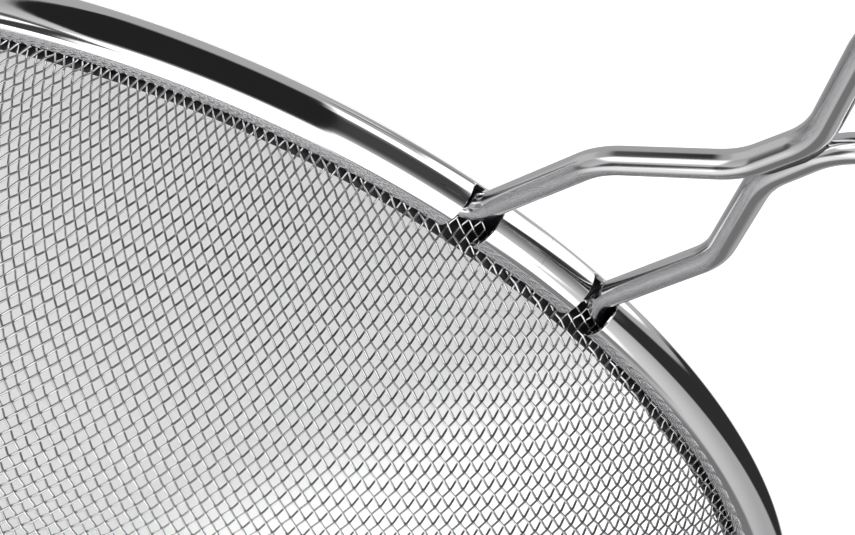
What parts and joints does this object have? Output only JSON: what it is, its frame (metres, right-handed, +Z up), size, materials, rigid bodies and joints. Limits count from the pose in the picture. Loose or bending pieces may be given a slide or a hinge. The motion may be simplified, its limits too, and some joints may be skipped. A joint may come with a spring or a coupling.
{
  "type": "wire mesh strainer",
  "caption": "Round woven-wire strainer: a mesh bowl held in a rolled steel rim, with a looped wire handle pinched at its waist and a wire hook that rests on a bowl.",
  "frame": {"origin": "centre of the mouth, on the plane that the rim rests on", "axes": "+X along the handle, +Z up out of the closed end of the bowl, so the part lies mouth down"},
  "size_m": [0.395, 0.2, 0.0582],
  "materials": {
    "woven_wire": "bright drawn wire, woven",
    "polished_rim": "mirror polished",
    "bent_wire": "satin polished",
    "weld_metal": "as welded, dull"
  },
  "bodies": {
    "root": {"mesh_bowl": "woven_wire", "rim_strip": "polished_rim", "hoop_wire": "bent_wire", "hoop_weld": "weld_metal", "handle_wire": "bent_wire", "pinch_weld": "weld_metal", "rest_hook": "bent_wire", "hook_welds": "weld_metal"}
  },
  "joints": []
}
